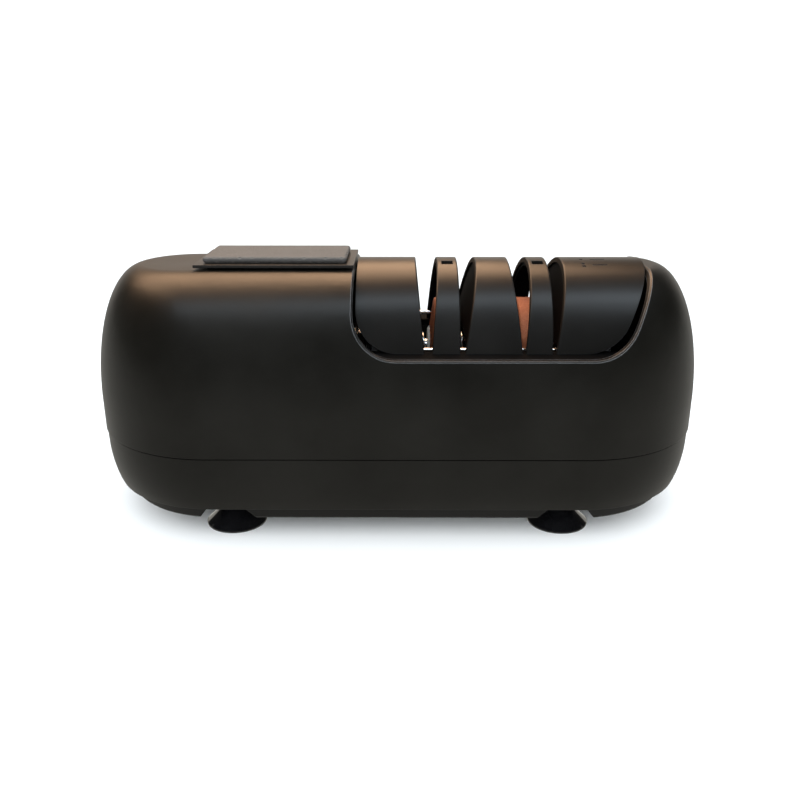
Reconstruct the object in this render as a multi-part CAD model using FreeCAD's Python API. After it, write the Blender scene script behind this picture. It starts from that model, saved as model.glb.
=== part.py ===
"""Electric four-slot blade sharpener on suction cups.

Frame: X to the right along the body, Y to the back, Z up. The origin is on the surface
that the suction cups stand on, under the middle of the body. Millimetres.
"""
import FreeCAD, Part
import math
import os

os.makedirs("parts", exist_ok=True)
V = FreeCAD.Vector

# ---------------------------------------------------------------- body
body_half_length = 105.0
body_half_depth = 44.0
top_height = 88.2          # flat top of the upper casing
widest_height = 43.5       # the side is upright from here down to corner_height
corner_height = 30.0       # the lower corner starts to turn in here
end_shoulder_run = 17.0    # how far the top shoulder comes in at the ends
side_shoulder_run = 29.0   # and at the front and the back
corner_run = 8.5
corner_rise = 22.0
casing_wall = 2.2
seam_height = 33.0
seam_gap = 0.4
lower_inset = 0.4          # the lower casing stands back under the upper one
lip_height = 3.0           # tongue of the lower casing inside the upper one
lip_wall = 1.2
fit_gap = 0.15             # between fixed pieces that slip together
casing_bottom = 13.5
tongue_depth = 5.6         # tongue of the lower casing, down from the seam
ramp_height = 4.0          # its root in the lower casing's wall
far = 300.0                # beyond every piece
over_top = 10.0            # cutters go this much over the flat top
touching = 0.01

# ---------------------------------------------------------------- base cover and feet
base_bottom = 8.0
base_step = 1.6            # set back under the lower casing
base_taper = 2.6           # how far its side leans in
base_edge = 0.8
cup_radius = 10.5
cup_end_margin = 48.0      # from the end of the body to a cup's centre
cup_side_margin = 22.2     # from the front of the body to a cup's centre
cup_lip = 0.5
cup_skirt = 0.9
cup_cone_height = 6.6
cup_neck_radius = 3.6
cup_stem_radius = 2.4
cup_bulb_radius = 3.5
cup_bulb_height = 3.6
stem_gap = 0.1
notch_gap = 0.8
notch_foot = 9.6           # half width of the way to a cup, at its foot and crown
notch_crown = 5.2
cup_shoulder_out = 1.2
cup_shoulder_drop = 0.8
cup_shoulder_rise = 0.6
cup_hollow_drop = 1.98     # hollow under the cone's top
cup_hollow_step = 0.3
cup_inner_share = 0.6      # of the neck's and the stem's radius
cup_bulb_share = 0.4       # upright part of the bulb
cup_bulb_edge = 0.6
hollow_end = 8.0           # hollow of the base cover, past the cups towards the ends
hollow_side = 6.0          # and in from the front and the back
hollow_floor = 2.0

# ---------------------------------------------------------------- casing screws
boss_radius = 4.0
boss_end_margin = 25.0
boss_side_margin = 19.0
boss_top = 56.0
screw_radius = 1.5
screw_head_radius = 2.8
screw_head_height = 2.2
screw_grip = 14.0          # length in the upper casing's boss
screw_gap = 0.05
screw_sink = 0.4           # heads stand back from the base cover's bottom
screw_slot = 0.8           # width of the cross in the head
screw_slot_depth = 0.8
screw_slot_share = 0.8     # of the head's radius

# ---------------------------------------------------------------- opening in the casing
opening_end_margin = 19.0  # from the right end of the body
opening_length = 100.0
rim_over_axis = 7.0        # front edge of the opening over the wheel axis
rear_rim_over_axis = 3.2
left_corner_radius = 13.5
right_corner_radius = 16.0
right_corner_margin = 24.5 # from the opening's right end to the corner's centre
right_corner_turn = 62.0   # degrees, then the right edge leans out
rim_bevel = 0.5

# ---------------------------------------------------------------- sharpening module
axis_drop = 30.4           # wheel axis under the flat top
barrel_radius = 31.8
barrel_wall = 1.8
edge_round = 0.45
shelf_drop = 0.5           # shelf under the rim of the opening
rear_shelf_drop = 0.2
shelf_thickness = 2.4
window_margin = 4.0        # clear way through the shelf, inside the barrel
end_gap = 0.6              # between the barrel's ends and the casing
liner_recess = 0.8
liner_wall = 1.6
arch_liner_wall = 1.2
fin_window_length = 3.8
fin_window_width = 3.2
fin_window_offset = 5.4    # towards the front from the crown
mark_depth = 0.3
mark_start = 7.0           # from the right block's left face
mark_radius = 0.6          # of the dots
mark_rows = (-2.0, -7.5)   # depth of the one-dot row and the two-dot row
mark_pitch = 2.0           # between the two dots
mark_bar = (3.0, 8.0)      # start and end of the bar beside the dots
mark_bar_width = 0.6
mark_reach = 8.0           # cutters go this much into the crown
mark_ends = (4.0, 14.0)    # marked stretch, left and right of the dots
liner_rod_gap = 0.3
frame_reach = 2.0          # frame past the opening to the left
frame_right_margin = 2.0
frame_window_start = 3.0   # from the opening's left edge
frame_window_end = 4.0     # past the right bearing

# Fins, as offsets from the opening's left edge, at the foot (the rear shelf) and at the crown.
stage_one_foot = (25.18, 34.52)
stage_one_crown = (27.5, 34.4)
stage_two_foot = (55.15, 63.99)
stage_two_crown = (58.4, 64.8)
# Blade slots, left to right, their widths at the foot and at the crown.
slot_foot = (1.97, 0.97, 0.21, 0.67)
slot_crown = (7.2, 6.2, 6.6, 5.2)

# ---------------------------------------------------------------- wheels and shaft
wheel_radius = 17.7
wheel_pitch = 30.0
stage_one_offset = 30.2    # first wheel's middle from the opening's left edge
rim_half_widths = (3.1, 4.6)
hub_half_widths = (5.6, 5.2)
hub_radius = 7.6
hub_flange = 0.8
rim_band = 0.9
rim_flare = 0.35
rim_edge = 0.4
rim_edge_drop = 0.25
hub_edge = 0.8
shaft_radius = 3.0
running_gap = 0.05
shaft_end_gap = 0.2        # to each shaft from the middle of the coupling
shaft_end_reach = 2.0      # past the right bearing
shaft_edge = 0.4
spring_outer = 5.4
spring_wire = 0.9
collar_radius = 6.4
collar_width = 2.0
collar_margin = 6.8        # outer collars from the hubs' faces
collar_edge = 0.3
rod_radius = 0.75
rod_margin = 5.8           # rods inside the barrel
rod_over_axis = 6.3
rod_gap = 0.05
rod_reach = 1.5            # past the trough's ends
rod_edge = 0.2

# ---------------------------------------------------------------- dust trough and bearings
trough_wall = 1.6
trough_clearance = 2.1
trough_start = 14.0        # from the opening's left edge
trough_length = 65.6
ear_over_axis = 8.5
ear_width = 4.0
ear_inset = 0.1
shaft_hole_gap = 1.5
bearing_radius = 9.5
bearing_width = 6.0
bearing_race = 1.6         # thickness of each ring
bearing_groove = 0.4
bearing_block_rim = 3.0
left_bearing_gap = 2.8     # from the trough's ends
right_bearing_gap = 1.8
bearing_foot_reach = 6.0
bearing_foot_thickness = 3.0
post_radius = 3.0
post_inset = 4.6           # from the inside of the casing
post_end = 6.0

# ---------------------------------------------------------------- motor
motor_radius = 18.0
motor_gap = 1.0            # at least, between the motor and the screw bosses
motor_length = 57.0
motor_end_margin = 16.0
motor_wall = 1.4
motor_face = 3.0
motor_boss_radius = 6.5
motor_boss_length = 3.0
motor_cap_depth = 9.0
motor_rim = 2.0            # outer step of the end cap
motor_rim_step = 0.4
motor_round = 1.6
cap_hub_step = 1.0
cap_hub_reach = 1.5
cap_hub_depth = 6.0
tag_length = 4.0           # solder tags on the end cap
tag_width = 3.2
tag_thickness = 0.8
tag_offset = 10.0
motor_shaft_tail = 3.0
motor_shaft_radius = 1.6
armature_radius = 13.6
armature_length = 32.0
armature_shift = 2.0       # from the motor's middle
armature_slots = 5
armature_slot_width = 2.4
armature_slot_share = 0.45 # of the radius, where a slot starts
commutator_radius = 4.5
commutator_length = 6.0
bracket_wall = 2.4
bracket_half_width = 20.0
bracket_over_axis = 16.0
bracket_foot = 14.0
bracket_foot_thickness = 2.0
bracket_hole_out = 8.0
bracket_hole_offset = 13.0
motor_screw_offset = 12.5
coupling_radius = 7.0
coupling_length = 14.0
coupling_start = 6.0       # from the bracket
coupling_edge = 0.8
slit_pitch = 2.5
slit_width = 0.8
slit_depth = 1.5
cradle_margin = 14.0
cradle_wall = 4.0
cradle_width_share = 0.8   # of the motor's radius
cradle_drop_share = 0.45   # of the radius, from the axis down to its top

# ---------------------------------------------------------------- switch, inlet and board
panel_depth = 5.0          # recess in the back for the switch and the inlet
panel_over_lip = 1.0       # recess over the lower casing's tongue
panel_size = (40.0, 16.4)
panel_right_margin = 1.0   # from the opening's left edge
panel_edge = 0.8
switch_margin = 13.0       # from the recess's left end
switch_bezel = (21.0, 15.0)
switch_body = (18.6, 12.6)
switch_hole = (16.4, 10.8)
switch_bezel_out = 1.8
switch_depth = 14.0
rocker_half_length = 7.2
rocker_half_height = 5.0
rocker_swing = 10.0        # degrees each side of the middle
rocker_crown = 3.6
rocker_valley = 1.2
rocker_pivot_out = 0.2
rocker_side_depth = 1.5
rocker_middle_depth = 4.0
rocker_round = 0.6
rocker_well = 8.0
bezel_round = 1.2
blade_pitch = 5.0          # contact blades behind the switch
blade_length = 6.0
blade_width = 4.4
blade_thickness = 0.8
panel_cut_reach = 6.0      # cutters for the switch and the inlet, behind the recess
inlet_margin = 7.0         # from the recess's right end
inlet_flange_radius = 5.5
inlet_flange_out = 1.2
inlet_body_radius = 4.2
inlet_socket_radius = 2.9
inlet_depth = 11.0
inlet_pin_radius = 1.0
inlet_pin_length = 8.0
inlet_pin_edge = 0.3
inlet_floor = 2.0
inlet_round = 0.5
nut_width = 11.0
nut_thickness = 2.0
board_length = 36.0
board_width = 17.0
board_thickness = 1.6
board_lift = 4.3
board_wall_gap = 2.4
board_hole_margin = 4.0
board_hole_radius = 0.8
board_post_radius = 2.0
capacitor_radius = 4.0
capacitor_height = 7.0
capacitor_margin = 12.0    # from the board's right end
capacitor_round = 0.6
terminal_size = (12.0, 8.0, 6.0)
terminal_margin = 8.0      # from the board's left end
terminal_hole_radius = 1.2
terminal_hole_start = 2.0
terminal_hole_pitch = 4.0
terminal_hole_depth = 3.0

# ---------------------------------------------------------------- stone on its tray
tray_length = 53.0
tray_width = 31.0
tray_thickness = 1.0
tray_pad_margin = 4.0
tray_pad_thickness = 0.8
tray_lip = 0.2
tray_edge = 0.15
stone_length = 48.0
stone_width = 25.0
stone_thickness = 2.1
stone_corner = 2.0
stone_edge = 0.35

# ---------------------------------------------------------------- worked out from these
straight_half = body_half_length - body_half_depth
axis_height = top_height - axis_drop
opening_right = body_half_length - opening_end_margin
opening_left = opening_right - opening_length
rim_height = axis_height + rim_over_axis
rear_rim_height = axis_height + rear_rim_over_axis
shelf_top = rim_height - shelf_drop
rear_shelf_top = rear_rim_height - rear_shelf_drop
crown_height = axis_height + barrel_radius
floor_top = casing_bottom + casing_wall
cup_x = body_half_length - cup_end_margin
cup_y = body_half_depth - cup_side_margin
boss_x = body_half_length - boss_end_margin
boss_y = max(body_half_depth - boss_side_margin, motor_radius + boss_radius + motor_gap)
wheel_centres = [opening_left + stage_one_offset + i * wheel_pitch for i in range(2)]
trough_left = opening_left + trough_start
trough_right = trough_left + trough_length
motor_left = -(body_half_length - motor_end_margin)
motor_right = motor_left + motor_length
coupling_left = motor_right + bracket_wall + coupling_start
coupling_right = coupling_left + coupling_length
coupling_middle = (coupling_left + coupling_right) / 2
rod_height = axis_height + rod_over_axis
rod_offset = barrel_radius - rod_margin
window_half_depth = barrel_radius - window_margin
panel_y = body_half_depth - panel_depth
panel_low = seam_height + lip_height + panel_over_lip
panel_height = panel_low + panel_size[1] / 2
panel_right = opening_left - panel_right_margin
panel_left = panel_right - panel_size[0]
switch_x = panel_left + switch_margin
inlet_x = panel_right - inlet_margin
tray_right = opening_left - tray_lip
tray_left = tray_right - tray_length
tray_low = top_height + tray_pad_thickness


# ================================================================ helpers
def save(node, shape):
    """Write one sub-part."""
    solid = shape.Solids[0] if len(shape.Solids) == 1 else shape
    assert solid.isValid() and solid.Volume > 0, node
    assert len(shape.Solids) == 1, (node, len(shape.Solids))
    solid.exportStep("parts/%s.step" % node)


def box(x0, x1, y0, y1, z0, z1):
    return Part.makeBox(x1 - x0, y1 - y0, z1 - z0, V(x0, y0, z0))


def x_rod(radius, x0, x1, y=0.0, z=axis_height):
    return Part.makeCylinder(radius, x1 - x0, V(x0, y, z), V(1, 0, 0))


def y_rod(radius, x, z, y0, y1):
    return Part.makeCylinder(radius, y1 - y0, V(x, y0, z), V(0, 1, 0))


def z_rod(radius, x, y, z0, z1):
    return Part.makeCylinder(radius, z1 - z0, V(x, y, z0), V(0, 0, 1))


def fused(first, *rest):
    return first.multiFuse(list(rest)).removeSplitter()


def ring_of_points(points):
    return Part.makePolygon([V(*p) for p in points + points[:1]])


def turned(points, x, y=0.0):
    """Solid of revolution about the upright line at x, y, from (radius, height) points."""
    outline = ring_of_points([(x + r, y, z) for r, z in points])
    return Part.Face(outline).revolve(V(x, y, 0), V(0, 0, 1), 360)


def turned_on_axis(points):
    """Solid of revolution about the wheel axis, from (x, radius) points."""
    outline = ring_of_points([(x, 0, axis_height + r) for x, r in points])
    return Part.Face(outline).revolve(V(0, 0, axis_height), V(1, 0, 0), 360)


def capsule(side_edges, low_side, high_side, low, high):
    """Body with round ends from the edges of its side, which run from low_side to high_side in y."""
    edges = list(side_edges)
    edges.append(Part.makeLine(V(0, high_side, high), V(0, 0, high)))
    edges.append(Part.makeLine(V(0, 0, high), V(0, 0, low)))
    edges.append(Part.makeLine(V(0, 0, low), V(0, low_side, low)))
    half = Part.Face(Part.Wire(Part.__sortEdges__(edges)))
    right_face = half.translated(V(straight_half, 0, 0))
    left_face = half.translated(V(-straight_half, 0, 0))
    right_end = right_face.revolve(V(straight_half, 0, 0), V(0, 0, 1), -180)
    left_end = left_face.revolve(V(-straight_half, 0, 0), V(0, 0, 1), 180)
    back = left_face.extrude(V(2 * straight_half, 0, 0))
    front = back.mirror(V(0, 0, 0), V(0, 1, 0))
    return fused(back, front, right_end, left_end)


def quarter_turn():
    """Cosine, sine and weight of the three control points of a quarter circle."""
    return ((1, 0, 1.0), (1, 1, math.sqrt(0.5)), (0, 1, 1.0))


def smooth_patch(points, weights):
    """Face on a grid of control points: quarter turns upwards, quarter turns or straight across."""
    across = len(points[0])
    surface = Part.BSplineSurface()
    surface.buildFromPolesMultsKnots(
        points, (3, 3), (across, across), (0, 1), (0, 1), False, False, 2, across - 1, weights)
    return surface.toShape()


def level_outline(half_length, half_depth, height):
    """Outline with straight sides and round ends."""
    straight = half_length - half_depth
    corners = [V(x, y, height) for x, y in ((-straight, -half_depth), (straight, -half_depth),
                                            (straight, half_depth), (-straight, half_depth))]
    return Part.Wire([
        Part.makeLine(corners[0], corners[1]),
        Part.Arc(corners[1], V(half_length, 0, height), corners[2]).toShape(),
        Part.makeLine(corners[2], corners[3]),
        Part.Arc(corners[3], V(-half_length, 0, height), corners[0]).toShape(),
    ])


def shoulder(inset):
    """Upper part of the body: elliptical shoulders, wider at the sides than at the ends, and a flat top."""
    length = body_half_length - end_shoulder_run
    depth = body_half_depth - side_shoulder_run
    rise = top_height - inset - widest_height
    faces = []
    for side in (-1, 1):
        end_points = {-1: [], 1: []}
        side_points = []
        end_weights = []
        side_weights = []
        for cosine, sine, weight in quarter_turn():
            half_length = length + (end_shoulder_run - inset) * cosine
            half_depth = depth + (side_shoulder_run - inset) * cosine
            straight = half_length - half_depth
            z = widest_height + rise * sine
            side_points.append([V(-straight, side * half_depth, z), V(straight, side * half_depth, z)])
            side_weights.append([weight, weight])
            for end in (-1, 1):
                end_points[end].append([V(end * (straight + half_depth * c), side * half_depth * s, z)
                                        for c, s, w in quarter_turn()])
            end_weights.append([weight * w for c, s, w in quarter_turn()])
        faces.append(smooth_patch(side_points, side_weights))
        faces += [smooth_patch(end_points[end], end_weights) for end in (-1, 1)]
    foot = level_outline(body_half_length - inset, body_half_depth - inset, widest_height)
    faces.append(Part.Face(foot))
    faces.append(Part.Face(level_outline(length, depth, widest_height + rise)))
    shell = Part.makeShell(faces)
    shell.sewShape()
    solid = Part.makeSolid(shell)
    if solid.Volume < 0:
        solid.reverse()
    return solid


def body(inset):
    """Whole outer form of the two casings, with its skin moved in by inset."""
    side = body_half_depth - inset
    low = corner_height - corner_rise + inset
    corner_centre = V(0, body_half_depth - corner_run, corner_height)
    corner = Part.Ellipse(V(0, corner_centre.y, low), V(0, side, corner_height), corner_centre)
    lower = Part.ArcOfEllipse(corner, 0, math.pi / 2).toShape()
    upright = Part.makeLine(V(0, side, corner_height), V(0, side, widest_height))
    return fused(capsule([lower, upright], corner_centre.y, side, low, widest_height), shoulder(inset))


def slab(low, high):
    return box(-far, far, -far, far, low, high)


def inner_side(height, inset):
    """Half depth of the body at a height above its widest level."""
    rise = top_height - inset - widest_height
    run = side_shoulder_run - inset
    share = (height - widest_height) / rise
    return body_half_depth - side_shoulder_run + run * math.sqrt(1 - share * share)


# ================================================================ casing
def corner_point(x, rim, radius, turn, y):
    """Point of a corner arc that starts at x on the rim, after a turn in degrees."""
    angle = math.radians(turn)
    return V(x + radius * math.sin(angle), y, rim + radius * (1 - math.cos(angle)))


def opening_profile(rim, y0, y1, shrink):
    """Prism of the module opening seen from the front, between two depths, its sides moved in by shrink."""
    top = top_height + over_top
    left = opening_left + shrink
    low_left = left + left_corner_radius
    lean_per_height = 1 / math.tan(math.radians(right_corner_turn))
    low_right = opening_right - right_corner_margin - (rim_height - rim) * lean_per_height - shrink
    left_foot = V(left, y0, rim + left_corner_radius)
    left_middle = corner_point(low_left, rim, left_corner_radius, -45, y0)
    right_middle = corner_point(low_right, rim, right_corner_radius, right_corner_turn / 2, y0)
    right_foot = corner_point(low_right, rim, right_corner_radius, right_corner_turn, y0)
    right_top = V(right_foot.x + (top - right_foot.z) * lean_per_height, y0, top)
    edges = [
        Part.makeLine(V(left, y0, top), left_foot),
        Part.Arc(left_foot, left_middle, V(low_left, y0, rim)).toShape(),
        Part.makeLine(V(low_left, y0, rim), V(low_right, y0, rim)),
        Part.Arc(V(low_right, y0, rim), right_middle, right_foot).toShape(),
        Part.makeLine(right_foot, right_top),
        Part.makeLine(right_top, V(left, y0, top)),
    ]
    return Part.Face(Part.Wire(edges)).extrude(V(0, y1 - y0, 0))


def opening(shrink=0.0, drop=0.0):
    """The module's opening, with its sides moved in and its lower edge moved down."""
    front = opening_profile(rim_height - drop, -far, 0, shrink)
    rear = opening_profile(rear_rim_height - drop, 0, far, shrink)
    return front.fuse(rear).removeSplitter()


def screw_places():
    return [(sx * boss_x, sy * boss_y) for sy in (-1, 1) for sx in (-1, 1)]


def cup_places():
    return [(sx * cup_x, sy * cup_y) for sy in (-1, 1) for sx in (-1, 1)]


def boss(x, y, low, high):
    """Screw boss with a web to the side wall."""
    out = math.copysign(body_half_depth, y)
    web = box(x - lip_wall, x + lip_wall, min(y, out), max(y, out), low, high)
    return z_rod(boss_radius, x, y, low, high).fuse(web)


def rim_edges(shape, cutter):
    """Edges of the opening on the outer skin."""
    skin = body(0.0)
    picked = []
    for edge in shape.Edges:
        middle = edge.valueAt((edge.FirstParameter + edge.LastParameter) / 2)
        spot = Part.Vertex(middle)
        on_skin = min(f.distToShape(spot)[0] for f in skin.Faces) < touching
        on_cut = min(f.distToShape(spot)[0] for f in cutter.Faces) < touching
        if on_skin and on_cut and middle.z > seam_height + 1:
            picked.append(edge)
    return picked


def upper_casing():
    outer = body(0.0).common(slab(seam_height, far))
    hollow = body(casing_wall)
    shell = outer.cut(hollow)
    cutter = opening()
    shell = shell.cut(cutter)
    shell = shell.makeChamfer(rim_bevel, rim_edges(shell, cutter))
    posts = boss(*screw_places()[0], seam_height + seam_gap, boss_top)
    posts = posts.multiFuse([boss(x, y, seam_height + seam_gap, boss_top) for x, y in screw_places()[1:]])
    shell = shell.fuse(posts.common(body(casing_wall / 2)))
    lip = body(casing_wall - touching).cut(body(casing_wall + lip_wall + fit_gap))
    lip = lip.common(slab(seam_height - far, seam_height + lip_height + fit_gap))
    shell = shell.cut(lip)
    for x, y in screw_places():
        shell = shell.cut(z_rod(screw_radius + screw_gap, x, y, seam_height, seam_height + screw_grip + 1))
    shell = shell.fuse(panel_pocket().common(body(casing_wall / 2)))
    shell = shell.cut(panel_space()).cut(switch_cutout()).cut(inlet_cutout())
    return shell.removeSplitter()


def panel_space():
    """Recess in the back wall, open to the outside."""
    return box(panel_left, panel_right, panel_y, far, panel_low, panel_low + panel_size[1])


def panel_pocket():
    """Walls round the recess."""
    low = panel_low - panel_edge
    high = panel_low + panel_size[1] + casing_wall
    return box(panel_left - casing_wall, panel_right + casing_wall, panel_y - casing_wall, far, low, high)


def lower_casing():
    outer = body(lower_inset).common(slab(casing_bottom, seam_height - seam_gap))
    inner = body(lower_inset + casing_wall).common(slab(floor_top, far))
    shell = outer.cut(inner)
    tongue_out = casing_wall + fit_gap
    tongue = body(tongue_out).cut(body(tongue_out + lip_wall))
    tongue = tongue.common(slab(seam_height - tongue_depth, seam_height + lip_height))
    ramp = body(lower_inset + casing_wall / 2).cut(body(tongue_out + lip_wall))
    ramp = ramp.common(slab(seam_height - seam_gap - ramp_height, seam_height - seam_gap))
    shell = fused(shell, tongue, ramp)
    hollow = body(lower_inset + casing_wall / 2)
    for x, y in screw_places():
        shell = shell.fuse(boss(x, y, casing_bottom, seam_height).common(hollow))
    for x, y, top in frame_post_places():
        shell = shell.fuse(z_rod(post_radius, x, y, casing_bottom + 1, top))
    for x, y in board_post_places():
        shell = shell.fuse(z_rod(board_post_radius, x, y, casing_bottom + 1, floor_top + board_lift))
    shell = shell.fuse(motor_cradle())
    for x, y in screw_places():
        shell = shell.cut(z_rod(screw_radius + screw_gap, x, y, casing_bottom - 1, seam_height + 1))
    for x, y in cup_places():
        shell = shell.cut(z_rod(cup_stem_radius + stem_gap, x, y, casing_bottom - 1, floor_top + 1))
    return shell.removeSplitter()


def frame_post_places():
    """Posts under the module frame: x, y and the height they reach."""
    inside = inner_side(shelf_top, casing_wall) - post_inset
    spots = []
    for x in (opening_left + post_end, trough_right + post_end - right_bearing_gap):
        spots.append((x, -inside, shelf_top - shelf_thickness))
        spots.append((x, inside, rear_shelf_top - shelf_thickness))
    return spots


def board_box():
    """Corner and far corner of the circuit board in plan."""
    x1 = opening_left
    y1 = body_half_depth - lower_inset - casing_wall - board_wall_gap
    return x1 - board_length, x1, y1 - board_width, y1


def board_post_places():
    x0, x1, y0, y1 = board_box()
    m = board_hole_margin
    return [(x, y) for x in (x0 + m, x1 - m) for y in (y0 + m, y1 - m)]


def motor_cradle():
    x = motor_left + cradle_margin
    half = motor_radius * cradle_width_share
    top = axis_height - motor_radius * cradle_drop_share
    rib = box(x, x + cradle_wall, -half, half, casing_bottom + 1, top)
    return rib.cut(x_rod(motor_radius + fit_gap, x - 1, x + cradle_wall + 1))


def base_cover():
    low_side = body_half_depth - lower_inset - corner_run * corner_share(casing_bottom)
    top_side = low_side - base_step
    bottom_side = top_side - base_taper
    corners = [(bottom_side - base_edge, base_bottom), (bottom_side, base_bottom + base_edge)]
    corners.append((top_side, casing_bottom))
    points = [V(0, y, z) for y, z in corners]
    side = [Part.makeLine(a, b) for a, b in zip(points, points[1:])]
    plate = capsule(side, bottom_side - base_edge, top_side, base_bottom, casing_bottom)
    hollow_x = cup_x - cup_radius - hollow_end
    hollow_y = bottom_side - hollow_side
    hollow = box(-hollow_x, hollow_x, -hollow_y, hollow_y, base_bottom + hollow_floor, casing_bottom + 1)
    plate = plate.cut(hollow)
    reach = cup_radius + notch_gap
    over = casing_bottom + 1
    for x, y in cup_places():
        way = ring_of_points([(x - notch_foot, y, base_bottom), (x + notch_foot, y, base_bottom),
                              (x + notch_crown, y, over), (x - notch_crown, y, over)])
        way = Part.Face(way).extrude(V(0, math.copysign(far, y), 0))
        plate = plate.cut(z_rod(reach, x, y, base_bottom - 1, over).fuse(way))
    for x, y in screw_places():
        hole = z_rod(screw_radius + screw_gap, x, y, base_bottom - 1, casing_bottom + 1)
        seat = z_rod(screw_head_radius + fit_gap, x, y, base_bottom - 1, base_bottom + screw_head_height)
        plate = plate.cut(hole).cut(seat)
    return plate


def corner_share(height):
    """Share of corner_run by which the lower corner has turned in at a height."""
    drop = (corner_height - height) / corner_rise
    return 1 - math.sqrt(1 - drop * drop)


def base_screw(x, y):
    """Pan-head screw that stands upright with its head in the base cover."""
    top = seam_height + screw_grip
    seat = base_bottom + screw_head_height
    low = base_bottom + screw_sink
    head = z_rod(screw_head_radius, x, y, low, seat)
    long = screw_head_radius * screw_slot_share
    thin = screw_slot / 2
    cross = box(x - long, x + long, y - thin, y + thin, base_bottom, low + screw_slot_depth)
    cross = cross.fuse(box(x - thin, x + thin, y - long, y + long, base_bottom, low + screw_slot_depth))
    return fused(head, z_rod(screw_radius, x, y, seat, top)).cut(cross)


def suction_cup(x, y):
    inner_top = cup_cone_height - cup_hollow_drop
    outline = [
        (cup_radius - cup_skirt, 0), (cup_radius, 0), (cup_radius, cup_lip),
        (cup_neck_radius + cup_shoulder_out, cup_cone_height - cup_shoulder_drop),
        (cup_neck_radius, cup_cone_height + cup_shoulder_rise),
        (cup_neck_radius, casing_bottom), (cup_stem_radius, casing_bottom),
        (cup_stem_radius, floor_top), (cup_bulb_radius, floor_top + cup_bulb_edge),
        (cup_bulb_radius, floor_top + cup_bulb_share * cup_bulb_height),
        (cup_stem_radius * cup_inner_share, floor_top + cup_bulb_height), (0, floor_top + cup_bulb_height),
        (0, inner_top), (cup_neck_radius * cup_inner_share, inner_top - cup_hollow_step),
    ]
    return turned(outline, x, y)


# ================================================================ sharpening module
def slanted_slab(left_foot, left_crown, right_foot, right_crown):
    """Wedge-sided block seen from the front, through the whole depth."""
    bottom, top = axis_height, crown_height + 2

    def at(foot, crown, height):
        return foot + (crown - foot) * (height - rear_shelf_top) / (crown_height - rear_shelf_top)

    outline = [(at(left_foot, left_crown, bottom), bottom), (at(right_foot, right_crown, bottom), bottom),
               (at(right_foot, right_crown, top), top), (at(left_foot, left_crown, top), top)]
    return Part.Face(ring_of_points([(x, -far, z) for x, z in outline])).extrude(V(0, 2 * far, 0))


def over_shelf(extra=0.0):
    """Everything over the front and rear shelves."""
    front = box(-far, far, -far, 0, shelf_top + extra, far)
    rear = box(-far, far, 0, far, rear_shelf_top + extra, far)
    return front.fuse(rear)


def arch(outer, inner):
    """Barrel wall from the front shelf over the crown to the rear shelf."""
    ring = x_rod(outer, -far, far).cut(x_rod(inner, -far, far))
    return ring.common(over_shelf())


def module_edges():
    """Left and right faces of the three blocks and two fins, at foot and crown."""
    one_l, one_r = [opening_left + v for v in stage_one_foot]
    one_lc, one_rc = [opening_left + v for v in stage_one_crown]
    two_l, two_r = [opening_left + v for v in stage_two_foot]
    two_lc, two_rc = [opening_left + v for v in stage_two_crown]
    left = opening_left + end_gap
    return {
        "left_guide": (left, left, one_l - slot_foot[0], one_lc - slot_crown[0]),
        "stage_one_fin": (one_l, one_lc, one_r, one_rc),
        "middle_guide": (one_r + slot_foot[1], one_rc + slot_crown[1],
                         two_l - slot_foot[2], two_lc - slot_crown[2]),
        "stage_two_fin": (two_l, two_lc, two_r, two_rc),
        "right_guide": (two_r + slot_foot[3], two_rc + slot_crown[3], far / 2, far / 2),
    }


def rounded_outside(shape, radius):
    """Round the outer edges that run over the crown beside a slot."""
    first_x = opening_left + left_corner_radius
    last_x = opening_right - right_corner_margin
    edges = []
    for edge in shape.Edges:
        first, last = edge.Vertexes[0].Point, edge.Vertexes[-1].Point
        middle = edge.valueAt((edge.FirstParameter + edge.LastParameter) / 2)
        reach = [math.hypot(p.y, p.z - axis_height) for p in (first, last, middle)]
        over = abs(first.y - last.y) > barrel_wall and first_x < middle.x < last_x
        if over and min(reach) > barrel_radius - touching:
            edges.append(edge)
    return shape.makeFillet(radius, edges)


def block(name):
    shape = arch(barrel_radius, barrel_radius - barrel_wall)
    shape = shape.common(slanted_slab(*module_edges()[name]))
    shape = shape.common(opening(end_gap, rim_height - shelf_top)).removeSplitter()
    shape = rounded_outside(shape, edge_round)
    if "fin" in name:
        x = (module_edges()[name][1] + module_edges()[name][3]) / 2
        half = fin_window_length / 2
        y = -fin_window_offset
        shape = shape.cut(box(x - half, x + half, y - fin_window_width / 2, y + fin_window_width / 2,
                              axis_height + barrel_radius / 2, far))
    if name == "right_guide":
        shape = shape.cut(stage_marks())
    return shape


def stage_marks():
    """Shallow generic marks on the crown of the right block: one dot and a bar, two dots and a bar."""
    x = module_edges()["right_guide"][1] + mark_start
    x0, x1 = x - mark_ends[0], x + mark_ends[1]
    ring = x_rod(barrel_radius + 1, x0, x1).cut(x_rod(barrel_radius - mark_depth, x0, x1))
    low = crown_height - mark_reach
    one, two = mark_rows
    marks = z_rod(mark_radius, x, one, low, far)
    for y in (two - mark_pitch / 2, two + mark_pitch / 2):
        marks = marks.fuse(z_rod(mark_radius, x, y, low, far))
    for y in mark_rows:
        marks = marks.fuse(box(x + mark_bar[0], x + mark_bar[1], y - mark_bar_width / 2,
                               y + mark_bar_width / 2, low, far))
    return marks.common(ring)


def plate_over_rods(radius):
    """Half disc inside the barrel wall, over the stop rods."""
    low = rod_height + rod_radius + liner_rod_gap
    return x_rod(radius, -far, far).common(slab(low, far))


def moved_edges(name, left, right):
    lf, lc, rf, rc = module_edges()[name]
    return lf + left, lc + left, rf + right, rc + right


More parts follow.
